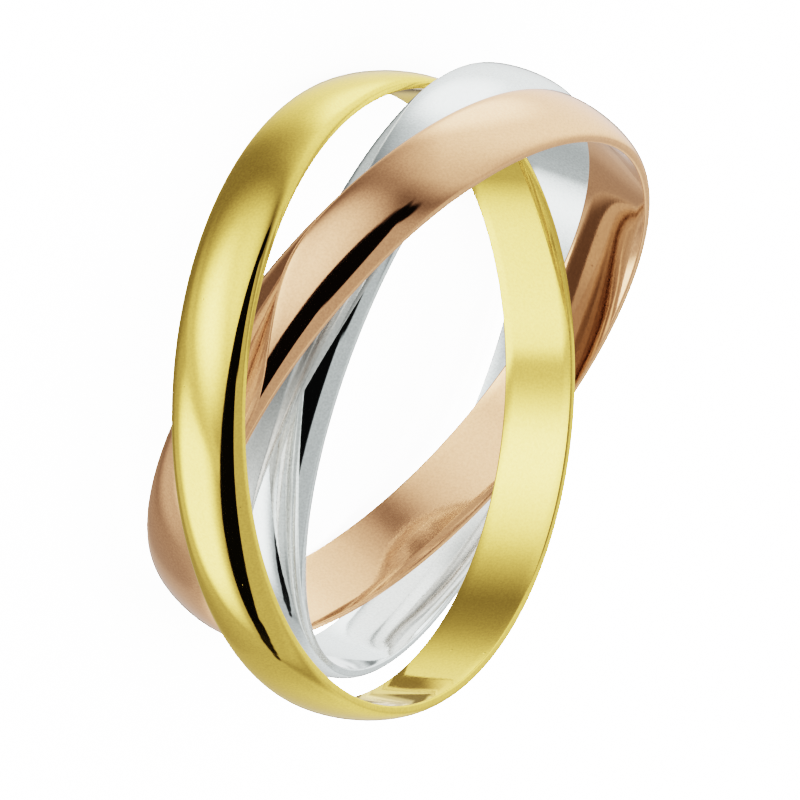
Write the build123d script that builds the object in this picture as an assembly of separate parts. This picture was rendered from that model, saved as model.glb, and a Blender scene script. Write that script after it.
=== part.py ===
"""Rolling finger ring of three interlinked gold bands, yellow, white and rose, in millimetres.

The ring lies on its side as it rests on a table. +Z is up, through the finger hole.
The origin is the middle of the box round the three bands, at table height.
"""

from collections import namedtuple
from math import asin, cos, degrees, radians, sin
import os

from build123d import *

# Driving dimensions of one band, the same for all three
inner_radius = 9.5       # inside radius, a 19 mm bore for a finger about 17.5 mm across
band_width = 2.5         # along the finger
crown_thickness = 0.55   # wall at the middle of the width
rim_thickness = 0.18     # wall at each rim, where the dome begins
rim_softening = 0.06     # radius of the polished inner corner
side_clearance = 0.1     # least air between the rims of neighbouring bands

# Two linked bands of one size clear each other at the sides from this lean upwards
side_angle = degrees(asin((band_width + side_clearance) / inner_radius))

# How each loose band lies in the tangle at rest:
#   lean          tilt of its axis from upright, in shares of the side angle
#   towards       compass direction that the top of its axis leans to, in degrees from +X to +Y
#   across_x, _y  shift of its centre, in shares of the inside radius
#   lift          height of its lowest point over the table, in shares of the band width
Lie = namedtuple("Lie", "node lean towards across_x across_y lift")
lies = (
    Lie("yellow_gold_band", lean=1.14, towards=-168.6, across_x=0.078, across_y=-0.151, lift=0.0),
    Lie("white_gold_band", lean=0.65, towards=107.4, across_x=-0.047, across_y=0.160, lift=0.18),
    Lie("rose_gold_band", lean=1.01, towards=22.3, across_x=-0.031, across_y=-0.038, lift=0.0),
)


def loose_band():
    """One seamless band about Z: plain inside, a narrow rim and an outside domed like half an ellipse."""
    half_width = band_width / 2
    rim_radius = inner_radius + rim_thickness
    with BuildPart() as band:
        with BuildSketch(Plane.XZ):
            with BuildLine():
                low_corner = CenterArc(
                    (inner_radius + rim_softening, rim_softening - half_width), rim_softening, 180, 90
                )
                high_corner = CenterArc(
                    (inner_radius + rim_softening, half_width - rim_softening), rim_softening, 90, 90
                )
                dome = EllipticalCenterArc(
                    (rim_radius, 0), crown_thickness - rim_thickness, half_width, -90, arc_size=180
                )
                Line(high_corner @ 1, low_corner @ 0)
                Line(low_corner @ 1, dome @ 0)
                Line(dome @ 1, high_corner @ 0)
            make_face()
        revolve(axis=Axis.Z)
    return band.part


def lean_of(lie):
    """Tilt of a band's axis from upright, in degrees."""
    return lie.lean * side_angle


def axis_of(lie):
    """Unit vector along a band's axis, pointing up."""
    tilt = radians(lean_of(lie))
    compass = radians(lie.towards)
    return Vector(sin(tilt) * cos(compass), sin(tilt) * sin(compass), cos(tilt))


def lay_down(lie):
    """Lean one band, shift it across the table and let it down to its height."""
    leaning = Rot(Z=lie.towards) * Rot(Y=lean_of(lie)) * loose_band()
    drop = lie.lift * band_width - leaning.bounding_box().min.Z
    centre = Vector(lie.across_x * inner_radius, lie.across_y * inner_radius, drop)
    return Pos(centre) * leaning, centre


laid = {lie.node: lay_down(lie) for lie in lies}

# Centre the tangle over the origin
boxes = [band.bounding_box() for band, centre in laid.values()]
middle_x = (min(box.min.X for box in boxes) + max(box.max.X for box in boxes)) / 2
middle_y = (min(box.min.Y for box in boxes) + max(box.max.Y for box in boxes)) / 2
to_origin = Vector(-middle_x, -middle_y, 0)

os.makedirs("parts", exist_ok=True)
for lie in lies:
    band, centre = laid[lie.node]
    band = Pos(to_origin) * band
    band.label = lie.node
    export_step(band, f"parts/{lie.node}.step")
    turning_centre = centre + to_origin
    turning_axis = axis_of(lie)
    print(
        f"{lie.node}: volume {band.volume:.3f} mm3, "
        f"centre {turning_centre.X:.4f} {turning_centre.Y:.4f} {turning_centre.Z:.4f}, "
        f"axis {turning_axis.X:.6f} {turning_axis.Y:.6f} {turning_axis.Z:.6f}"
    )
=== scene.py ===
"""Rolling ring of three interlinked gold bands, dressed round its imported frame, in metres.

The ring lies on its side on a pale table. +Z is up, through the finger hole.
"""

from math import cos, pi, radians, sin

import bmesh
import bpy
from mathutils import Matrix, Vector


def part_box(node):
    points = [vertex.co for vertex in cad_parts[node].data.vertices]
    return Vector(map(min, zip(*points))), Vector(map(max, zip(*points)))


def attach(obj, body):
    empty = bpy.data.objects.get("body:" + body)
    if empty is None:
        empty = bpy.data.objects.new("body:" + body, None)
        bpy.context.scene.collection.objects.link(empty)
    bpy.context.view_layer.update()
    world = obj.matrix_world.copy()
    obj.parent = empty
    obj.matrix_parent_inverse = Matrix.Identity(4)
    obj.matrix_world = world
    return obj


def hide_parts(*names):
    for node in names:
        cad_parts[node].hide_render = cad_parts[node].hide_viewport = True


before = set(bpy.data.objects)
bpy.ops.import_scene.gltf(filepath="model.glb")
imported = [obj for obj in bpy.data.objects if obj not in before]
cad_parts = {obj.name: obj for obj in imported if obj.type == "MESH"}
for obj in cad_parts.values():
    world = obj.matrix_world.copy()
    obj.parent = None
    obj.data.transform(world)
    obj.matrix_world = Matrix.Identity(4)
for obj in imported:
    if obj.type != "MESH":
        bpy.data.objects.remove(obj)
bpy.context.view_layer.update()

# The yellow gold band
# One of three equal bands without a seam, turned from a tube of 14 carat yellow gold. The inside is
# bored plain and the outside turned to a low dome, then both are polished on a felt wheel.

bore_radius = 0.0095
band_width = 0.0025
crown_thickness = 0.00055
rim_thickness = 0.00018
rim_softening = 0.00006
dome_steps = 64
corner_steps = 5
bore_strips = 8
turn_steps = 720
merge_distance = 1e-7


def turned_band(name, lean, towards):
    """A band about its own axis, leant by lean degrees towards a compass direction, in its place."""
    half_width = band_width / 2
    dome_height = crown_thickness - rim_thickness
    corner = bore_radius + rim_softening
    outline = []
    for step in range(dome_steps + 1):
        angle = pi * (step / dome_steps - 0.5)
        outline.append((bore_radius + rim_thickness + dome_height * cos(angle), half_width * sin(angle)))
    for step in range(corner_steps + 1):
        angle = pi / 2 * (1 + step / corner_steps)
        outline.append((corner + rim_softening * cos(angle), half_width + rim_softening * (sin(angle) - 1)))
    for step in range(1, bore_strips):
        outline.append((bore_radius, (half_width - rim_softening) * (1 - 2 * step / bore_strips)))
    for step in range(corner_steps + 1):
        angle = pi / 2 * (2 + step / corner_steps)
        outline.append((corner + rim_softening * cos(angle), rim_softening * (sin(angle) + 1) - half_width))

    shape = bmesh.new()
    bmesh.ops.create_grid(shape, x_segments=turn_steps, y_segments=len(outline), size=0.5)
    for vert in shape.verts:
        turn = 2 * pi * (vert.co.x + 0.5)
        radius, height = outline[round((vert.co.y + 0.5) * len(outline)) % len(outline)]
        vert.co = (radius * cos(turn), radius * sin(turn), height)
    bmesh.ops.remove_doubles(shape, verts=shape.verts, dist=merge_distance)
    low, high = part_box(name)
    place = Matrix.Translation((low + high) / 2)
    place = place @ Matrix.Rotation(radians(towards), 4, "Z") @ Matrix.Rotation(radians(lean), 4, "Y")
    bmesh.ops.transform(shape, matrix=place, verts=shape.verts)
    bmesh.ops.recalc_face_normals(shape, faces=shape.faces)
    mesh = bpy.data.meshes.new(name + "_polished")
    shape.to_mesh(mesh)
    shape.free()
    mesh.shade_smooth()
    band = bpy.data.objects.new(name + "_polished", mesh)
    bpy.context.scene.collection.objects.link(band)
    return band


def linear(hex_colour):
    """Linear colour with full alpha from an sRGB hex value."""
    shares = [int(hex_colour[start:start + 2], 16) / 255 for start in (1, 3, 5)]
    return [s / 12.92 if s <= 0.04045 else ((s + 0.055) / 1.055) ** 2.4 for s in shares] + [1.0]


def add_node(tree, kind, settings, inputs):
    """Adds a node of a kind, with its settings, and its inputs given as values or as sockets to link."""
    node = tree.nodes.new(kind)
    for setting, value in settings.items():
        setattr(node, setting, value)
    for socket, value in inputs.items():
        if isinstance(value, bpy.types.NodeSocket):
            tree.links.new(value, node.inputs[socket])
        else:
            node.inputs[socket].default_value = value
    return node


hairline_spacing = 0.0000385
hairline_length = 0.00625
hairline_depth = 1e-7
grain_width = 0.0000714
grain_depth = 2e-7
wave_length = 0.00222
wave_depth = 3e-6
pit_spacing = 0.00111
pit_radius = 0.0000444
pit_floor_radius = 0.0000167
pit_depth = 3e-6
rubbed_width = 0.0001
polished_roughness = 0.03
hairline_roughness = 0.08
rubbed_roughness = 0.1
dark_grain = 0.92
bright_grain = 1.06
# A noise pattern hardly ever leaves this range
noise_low = 0.3
noise_high = 0.7


def polished(finish, band, lean, towards, colour, edge, painted_reflection, painted_reflection_outside=None):
    """Polished metal for one band, its marks laid out about that band's own axis.

    The metal has its colour where the eye meets it squarely and its edge colour at a flat angle. Other bands
    mirror it in a painted reflection colour, a paler painted copy of the metal, and its outside in another
    painted one where that is given.
    """
    material = bpy.data.materials.new(finish)
    material.use_nodes = True
    tree = material.node_tree
    tree.nodes.clear()
    low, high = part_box(band)
    place = add_node(tree, "ShaderNodeTexCoord", {}, {}).outputs["Object"]
    own = add_node(tree, "ShaderNodeMapping", {"vector_type": "TEXTURE"}, {
        "Vector": place, "Location": (low + high) / 2, "Rotation": (0, radians(lean), radians(towards)),
    }).outputs["Vector"]

    # The felt wheel leaves hairlines along the band, drawn about 0.04 mm apart, coarser than they are
    along = add_node(tree, "ShaderNodeMapping", {}, {
        "Vector": own, "Scale": (1 / hairline_length, 1 / hairline_length, 1 / hairline_spacing),
    }).outputs["Vector"]
    hairlines = add_node(tree, "ShaderNodeTexNoise", {}, {"Vector": along, "Scale": 1, "Detail": 2})
    # The grain of the metal shows as a fine shimmer, drawn about 0.07 mm across, coarser than it is
    grain = add_node(tree, "ShaderNodeTexNoise", {}, {"Vector": own, "Scale": 1 / grain_width, "Detail": 1})
    # Hand polishing leaves a faint waviness, about 2 mm long
    waviness = add_node(tree, "ShaderNodeTexNoise", {}, {
        "Vector": own, "Scale": 1 / wave_length, "Detail": 1,
    })
    # A few pits of the casting stay, under 0.1 mm across
    pits = add_node(tree, "ShaderNodeTexVoronoi", {}, {"Vector": own, "Scale": 1 / pit_spacing})
    pits = add_node(tree, "ShaderNodeMapRange", {}, {
        "Value": pits.outputs["Distance"],
        "From Min": pit_floor_radius / pit_spacing, "From Max": pit_radius / pit_spacing,
    })
    bumps = None
    for pattern, depth in (
        (waviness.outputs["Fac"], wave_depth),
        (hairlines.outputs["Fac"], hairline_depth),
        (grain.outputs["Fac"], grain_depth),
        (pits.outputs["Result"], pit_depth),
    ):
        inputs = {"Strength": 1, "Distance": depth, "Height": pattern}
        if bumps:
            inputs["Normal"] = bumps
        bumps = add_node(tree, "ShaderNodeBump", {}, inputs).outputs["Normal"]

    # The hairlines scatter a little light, and the rims, which rub on one another, a little more
    gloss = add_node(tree, "ShaderNodeMapRange", {}, {
        "Value": hairlines.outputs["Fac"], "From Min": noise_low, "From Max": noise_high,
        "To Min": polished_roughness, "To Max": hairline_roughness,
    }).outputs["Result"]
    across = add_node(tree, "ShaderNodeSeparateXYZ", {}, {"Vector": own}).outputs["Z"]
    across = add_node(tree, "ShaderNodeMath", {"operation": "ABSOLUTE"}, {0: across}).outputs["Value"]
    rubbed = add_node(tree, "ShaderNodeMapRange", {}, {
        "Value": across, "From Min": band_width / 2 - rubbed_width, "From Max": band_width / 2,
        "To Max": rubbed_roughness,
    }).outputs["Result"]
    gloss = add_node(tree, "ShaderNodeMath", {"operation": "ADD"}, {0: gloss, 1: rubbed}).outputs["Value"]
    shimmer = add_node(tree, "ShaderNodeMapRange", {}, {
        "Value": grain.outputs["Fac"], "From Min": noise_low, "From Max": noise_high,
        "To Min": dark_grain, "To Max": bright_grain,
    }).outputs["Result"]
    shimmering = add_node(tree, "ShaderNodeVectorMath", {"operation": "SCALE"}, {
        "Vector": linear(colour)[:3], "Scale": shimmer,
    }).outputs["Vector"]
    seen = add_node(tree, "ShaderNodeBsdfPrincipled", {}, {
        "Base Color": shimmering, "Metallic": 1.0, "Roughness": gloss, "Specular Tint": linear(edge),
        "Normal": bumps,
    })

    # Painted reflection: what another band mirrors of this one is a second, paler copy of the metal, so that
    # the bands mirror one another nearly without colour
    painted_reflection_colour = linear(painted_reflection)
    if painted_reflection_outside:
        flat = add_node(tree, "ShaderNodeVectorMath", {"operation": "MULTIPLY"}, {0: own, 1: (1, 1, 0)})
        from_axis = add_node(tree, "ShaderNodeVectorMath", {"operation": "LENGTH"}, {
            0: flat.outputs["Vector"],
        }).outputs["Value"]
        outside = add_node(tree, "ShaderNodeMapRange", {}, {
            "Value": from_axis,
            "From Min": bore_radius + rim_softening, "From Max": bore_radius + rim_thickness,
        }).outputs["Result"]
        # Painted reflection: darker on the outside of the band than on its bore
        painted_reflection_colour = add_node(tree, "ShaderNodeMix", {"data_type": "RGBA"}, {
            0: outside, 6: painted_reflection_colour, 7: linear(painted_reflection_outside),
        }).outputs[2]
    # The painted reflection copy of the metal, which only rays mirrored off other bands see
    painted_reflection_metal = add_node(tree, "ShaderNodeBsdfPrincipled", {}, {
        "Base Color": painted_reflection_colour, "Metallic": 1.0, "Roughness": gloss, "Normal": bumps,
    })
    path = add_node(tree, "ShaderNodeLightPath", {}, {})
    metal = add_node(tree, "ShaderNodeMixShader", {}, {
        0: path.outputs["Is Glossy Ray"], 1: seen.outputs["BSDF"], 2: painted_reflection_metal.outputs["BSDF"],
    })
    add_node(tree, "ShaderNodeOutputMaterial", {}, {"Surface": metal.outputs["Shader"]})
    return material


yellow_lean = 18.1
yellow_towards = -168.6
yellow_band = turned_band("yellow_gold_band", yellow_lean, yellow_towards)
# Polishing makes it a sharp deep yellow mirror, golden right to its edges. Other bands show it in a paler
# painted reflection colour, and its outside in a darker painted one
yellow_band.data.materials.append(polished(
    "polished yellow gold", "yellow_gold_band", yellow_lean, yellow_towards,
    colour="#F3D27C", edge="#F9F1DC", painted_reflection="#FBFAF8", painted_reflection_outside="#DFDAD2",
))
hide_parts("yellow_gold_band")
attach(yellow_band, "yellow")

# The white gold band
# The same band in white gold, linked through the other two. It is plated with rhodium after polishing,
# which takes off its yellow cast.

white_lean = 10.32
white_towards = 107.4
white_band = turned_band("white_gold_band", white_lean, white_towards)
# The plating gives a cold mirror with hardly any colour, and other bands show it in a paler painted
# reflection colour
white_band.data.materials.append(polished(
    "rhodium plated white gold", "white_gold_band", white_lean, white_towards,
    colour="#E6EDEC", edge="#F6F7F7", painted_reflection="#FAFAFA",
))
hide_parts("white_gold_band")
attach(white_band, "white")

# The rose gold band
# The same band in rose gold, an alloy with more copper, linked through the other two and polished as the
# yellow one is.

rose_lean = 16.04
rose_towards = 22.3
rose_band = turned_band("rose_gold_band", rose_lean, rose_towards)
# The copper gives a warm pink mirror, as sharp as the yellow one, and other bands show it in a paler
# painted reflection colour
rose_band.data.materials.append(polished(
    "polished rose gold", "rose_gold_band", rose_lean, rose_towards,
    colour="#F1BD97", edge="#FCF4EE", painted_reflection="#F3EFEC",
))
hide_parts("rose_gold_band")
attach(rose_band, "rose")

# The table
# A pale matt board under the ring, in soft light from all round, and so large that its edge stays out of
# the picture.

table_size = 3.0
table_roughness = 0.9
shape = bmesh.new()
bmesh.ops.create_grid(shape, x_segments=1, y_segments=1, size=table_size / 2)
mesh = bpy.data.meshes.new("table")
shape.to_mesh(mesh)
shape.free()
table = bpy.data.objects.new("table", mesh)
bpy.context.scene.collection.objects.link(table)
paint = bpy.data.materials.new("matt white paint")
paint.use_nodes = True
paint_sockets = paint.node_tree.nodes["Principled BSDF"].inputs
paint_sockets["Base Color"].default_value = linear("#F4F3F0")
paint_sockets["Roughness"].default_value = table_roughness
paint_sockets["Specular IOR Level"].default_value = 0.0
mesh.materials.append(paint)
# The photographed ring stands clear of any table, so the metal doesn't mirror this one
table.visible_glossy = False

# The camera
# It looks down on the ring from about 30 degrees above the table, and is turned about its own line of sight
# so that the ring stands up in the picture.

camera_height = 29.86
picture_turn = 114.29
camera_aim = Vector((0.000629, 0.000035, 0.00402))
camera_distance = 0.190
focal_length = 274.9

turned = Matrix.Rotation(radians(90 - camera_height), 4, "X") @ Matrix.Rotation(radians(picture_turn), 4, "Z")
camera = bpy.data.objects.new("camera", bpy.data.cameras.new("camera"))
camera.matrix_world = Matrix.Translation(camera_aim + turned.to_3x3().col[2] * camera_distance) @ turned
camera.data.lens = focal_length
camera.data.clip_start = 0.01
camera.data.clip_end = 10
bpy.context.scene.collection.objects.link(camera)
bpy.context.scene.camera = camera

# The light tent
# A tube of pale cloth round the ring, with its long axis leaning, that the polished metal mirrors. Angles
# round the tube and along it are in degrees, from the side that faces the camera.

tent_axis = Vector((-0.9237, -0.3724, 0.0896)).normalized()
tent_front = Vector((0.365, -0.785, 0.500))
tent_front = (tent_front - tent_axis * tent_front.dot(tent_axis)).normalized()
tent_side = tent_axis.cross(tent_front)

# Light goes from band to band up to a dozen times in the narrow gaps
bpy.context.scene.cycles.glossy_bounces = 12

world = bpy.data.worlds.new("light tent")
bpy.context.scene.world = world
world.use_nodes = True
world.cycles.sampling_method = "NONE"
tree = world.node_tree
tree.nodes.clear()
direction = add_node(tree, "ShaderNodeTexCoord", {}, {}).outputs["Generated"]
sideways, forwards, lengthways = [
    add_node(tree, "ShaderNodeVectorMath", {"operation": "DOT_PRODUCT"}, {
        0: direction, 1: way,
    }).outputs["Value"]
    for way in (tent_side, tent_front, tent_axis)
]
round_tube = add_node(tree, "ShaderNodeMath", {"operation": "ARCTAN2"}, {0: sideways, 1: forwards})
round_tube = add_node(tree, "ShaderNodeMath", {"operation": "DEGREES"}, {0: round_tube.outputs["Value"]})
round_tube = round_tube.outputs["Value"]
along_tube = add_node(tree, "ShaderNodeMath", {"operation": "ARCSINE"}, {0: lengthways})
along_tube = add_node(tree, "ShaderNodeMath", {"operation": "DEGREES"}, {0: along_tube.outputs["Value"]})
along_tube = along_tube.outputs["Value"]


def cover_light(light, cover, softness, edge, brightness):
    """Covers the light inside an edge with a board of its own brightness, blurred by softness at the edge."""
    cover = add_node(tree, "ShaderNodeMapRange", {"interpolation_type": "SMOOTHSTEP"}, {
        "Value": cover, "From Min": edge - softness, "From Max": edge + softness,
        "To Min": 1.0, "To Max": 0.0,
    }).outputs["Result"]
    covered = add_node(tree, "ShaderNodeMix", {"data_type": "FLOAT"}, {0: cover, 2: light, 3: brightness})
    return covered.outputs["Result"]


def hang(light, round_at, along_at, round_half, along_half, roundness, softness, brightness, slant=0.0):
    """Hangs a rounded panel in the tent, round_half and along_half degrees from its middle to its edges.

    A roundness of 2 is an oval, and more is squarer. The softness of the edge is a share of those halves, and
    slant is how many degrees along the tube the panel climbs for each degree round it.
    """
    off_round = add_node(tree, "ShaderNodeMath", {"operation": "SUBTRACT"}, {0: round_tube, 1: round_at})
    off_round = add_node(tree, "ShaderNodeMath", {"operation": "WRAP"}, {
        0: off_round.outputs["Value"], 1: 180.0, 2: -180.0,
    }).outputs["Value"]
    off_along = add_node(tree, "ShaderNodeMath", {"operation": "SUBTRACT"}, {0: along_tube, 1: along_at})
    off_along = add_node(tree, "ShaderNodeMath", {"operation": "MULTIPLY_ADD"}, {
        0: off_round, 1: -slant, 2: off_along.outputs["Value"],
    }).outputs["Value"]
    both = 0.0
    for off, half in ((off_round, round_half), (off_along, along_half)):
        off = add_node(tree, "ShaderNodeMath", {"operation": "ABSOLUTE"}, {0: off}).outputs["Value"]
        off = add_node(tree, "ShaderNodeMath", {"operation": "DIVIDE"}, {0: off, 1: half}).outputs["Value"]
        off = add_node(tree, "ShaderNodeMath", {"operation": "POWER"}, {0: off, 1: roundness})
        off = off.outputs["Value"]
        both = add_node(tree, "ShaderNodeMath", {"operation": "ADD"}, {0: both, 1: off}).outputs["Value"]
    both = add_node(tree, "ShaderNodeMath", {"operation": "POWER"}, {0: both, 1: 1 / roundness})
    return cover_light(light, both.outputs["Value"], softness, 1.0, brightness)


def lay_round(light, round_at, along_at, reach, softness, brightness):
    """Lays a round board in the tent, reach degrees from its middle to its edge, softness degrees soft."""
    round_at = radians(round_at)
    along_at = radians(along_at)
    middle = tent_side * sin(round_at) + tent_front * cos(round_at)
    middle = middle * cos(along_at) + tent_axis * sin(along_at)
    off = add_node(tree, "ShaderNodeVectorMath", {"operation": "DOT_PRODUCT"}, {0: direction, 1: middle})
    off = add_node(tree, "ShaderNodeMath", {"operation": "ARCCOSINE"}, {0: off.outputs["Value"]})
    return cover_light(light, off.outputs["Value"], radians(softness), radians(reach), brightness)


# The cloth of the tent itself
cloth_brightness = 0.49
light = add_node(tree, "ShaderNodeValue", {}, {}).outputs["Value"]
light.default_value = cloth_brightness
# A low board at the right
light = hang(light, 119, -45, 54, 25, 5, 0.6, 0.87)
# The round table top with its dark rim, and the pool of lamp light on it
light = lay_round(light, 153, 40, 73, 8, 0.2)
light = lay_round(light, 150, 34, 63, 9, 0.76)
light = lay_round(light, 166, 35, 42, 20, 1.28)
light = lay_round(light, -170, 40, 15, 8, 1.85)
# Paler cloth before the table, which the rims mirror, with a dark seam behind the ring that outlines it
light = hang(light, 150, -17, 85, 11, 3, 0.3, 0.68)
light = hang(light, 86, 0, 20, 22, 2, 0.4, 0.62)
light = hang(light, 179, -22, 13, 12, 2.2, 0.5, 0.22)
# Shade at the far left
light = hang(light, -124, 1, 22, 56, 3.2, 0.8, 0.23, 0.1)
light = hang(light, -137, -48, 13, 19, 4, 0.5, 0.36)
light = hang(light, -96, -45, 13, 16, 2.5, 0.7, 0.62)
# Two lit cloths at the left, the upper one with a lamp behind it, and the gap between them
light = hang(light, -60, 34, 33, 24, 2.1, 0.9, 1.3, -0.06)
light = hang(light, -69, 13, 18, 11, 2.5, 0.9, 2.2, -0.44)
light = hang(light, -64, -41, 20, 30, 3, 0.4, 1.95, -0.06)
light = hang(light, -62, -9.5, 34, 4, 4, 0.9, 0.75, -0.38)
# Shade low at the near right
light = hang(light, 79, -68, 18, 46, 2, 0.9, 0.33, -0.6)
# A long black card with a hooked top, and small round ones at its foot that draw it out to a point
light = hang(light, -12, 48, 14, 26, 2.2, 0.12, 0.01)
light = hang(light, -4, 66, 24, 5.5, 2.5, 0.3, 0.01)
light = hang(light, -23, -14, 13, 80, 4, 0.07, 0.01)
light = lay_round(light, -17, -74.5, 4.3, 0.8, 0.01)
light = lay_round(light, -16, -78, 4.1, 0.8, 0.02)
light = lay_round(light, -16, -82.5, 3.4, 0.8, 0.03)
light = lay_round(light, -3, -86, 2.5, 0.8, 0.03)
light = lay_round(light, 60, -88.8, 1.6, 0.8, 0.03)

# Light that has gone from band to band before has evened out
brightest_evened = 0.6
evened_brightness = 0.57
evening_share = 0.6
path = add_node(tree, "ShaderNodeLightPath", {}, {})
evened = add_node(tree, "ShaderNodeMath", {"operation": "MINIMUM"}, {
    0: light, 1: brightest_evened,
}).outputs["Value"]
evened = add_node(tree, "ShaderNodeMix", {"data_type": "FLOAT"}, {
    0: evening_share, 2: evened, 3: evened_brightness,
}).outputs["Result"]
# It still finds the shade behind the ring, the glow of the table and of the cloths over it, and a dark gap
evened = hang(evened, -175, -30, 50, 14, 2, 0.5, 0.18)
evened = hang(evened, 176, 9, 34, 13, 2, 0.5, 1.4)
evened = hang(evened, -110, 46, 100, 16, 2.5, 0.6, 1.35)
evened = hang(evened, -165, 68, 70, 12, 2, 0.6, 1.6)
evened = hang(evened, 115, 22, 28, 34, 3, 0.4, 1.3)
evened = hang(evened, -164, 48, 11, 5, 2, 0.5, 0.3)
# Light that has gone to and fro still more comes from a lit hem that runs round the tent low down, and
# finds one shade less
hem = hang(evened, 0, -37, 400, 13, 2, 0.5, 0.9)
evened = hang(evened, -152, 42, 23, 12, 2, 0.4, 0.27)
passed_on = add_node(tree, "ShaderNodeMapRange", {}, {
    "Value": path.outputs["Glossy Depth"], "From Min": 1.0, "From Max": 2.0,
}).outputs["Result"]
light = add_node(tree, "ShaderNodeMix", {"data_type": "FLOAT"}, {
    0: passed_on, 2: light, 3: evened,
}).outputs["Result"]
to_and_fro = add_node(tree, "ShaderNodeMapRange", {}, {
    "Value": path.outputs["Glossy Depth"], "From Min": 2.0, "From Max": 4.0,
}).outputs["Result"]
light = add_node(tree, "ShaderNodeMix", {"data_type": "FLOAT"}, {
    0: to_and_fro, 2: light, 3: hem,
}).outputs["Result"]

# The table and the background are lit to plain white
backdrop = 16.0
floor_light = 16.0
light = add_node(tree, "ShaderNodeMix", {"data_type": "FLOAT"}, {
    0: path.outputs["Is Diffuse Ray"], 2: light, 3: floor_light,
}).outputs["Result"]
light = add_node(tree, "ShaderNodeMix", {"data_type": "FLOAT"}, {
    0: path.outputs["Is Camera Ray"], 2: light, 3: backdrop,
}).outputs["Result"]
shine = add_node(tree, "ShaderNodeBackground", {}, {"Color": (1, 1, 1, 1), "Strength": light})
add_node(tree, "ShaderNodeOutputWorld", {}, {"Surface": shine.outputs["Background"]})

# A strong contrast takes the metal from black to clean white, as in the photograph
bpy.context.scene.view_settings.view_transform = "Filmic"
bpy.context.scene.view_settings.look = "Very High Contrast"
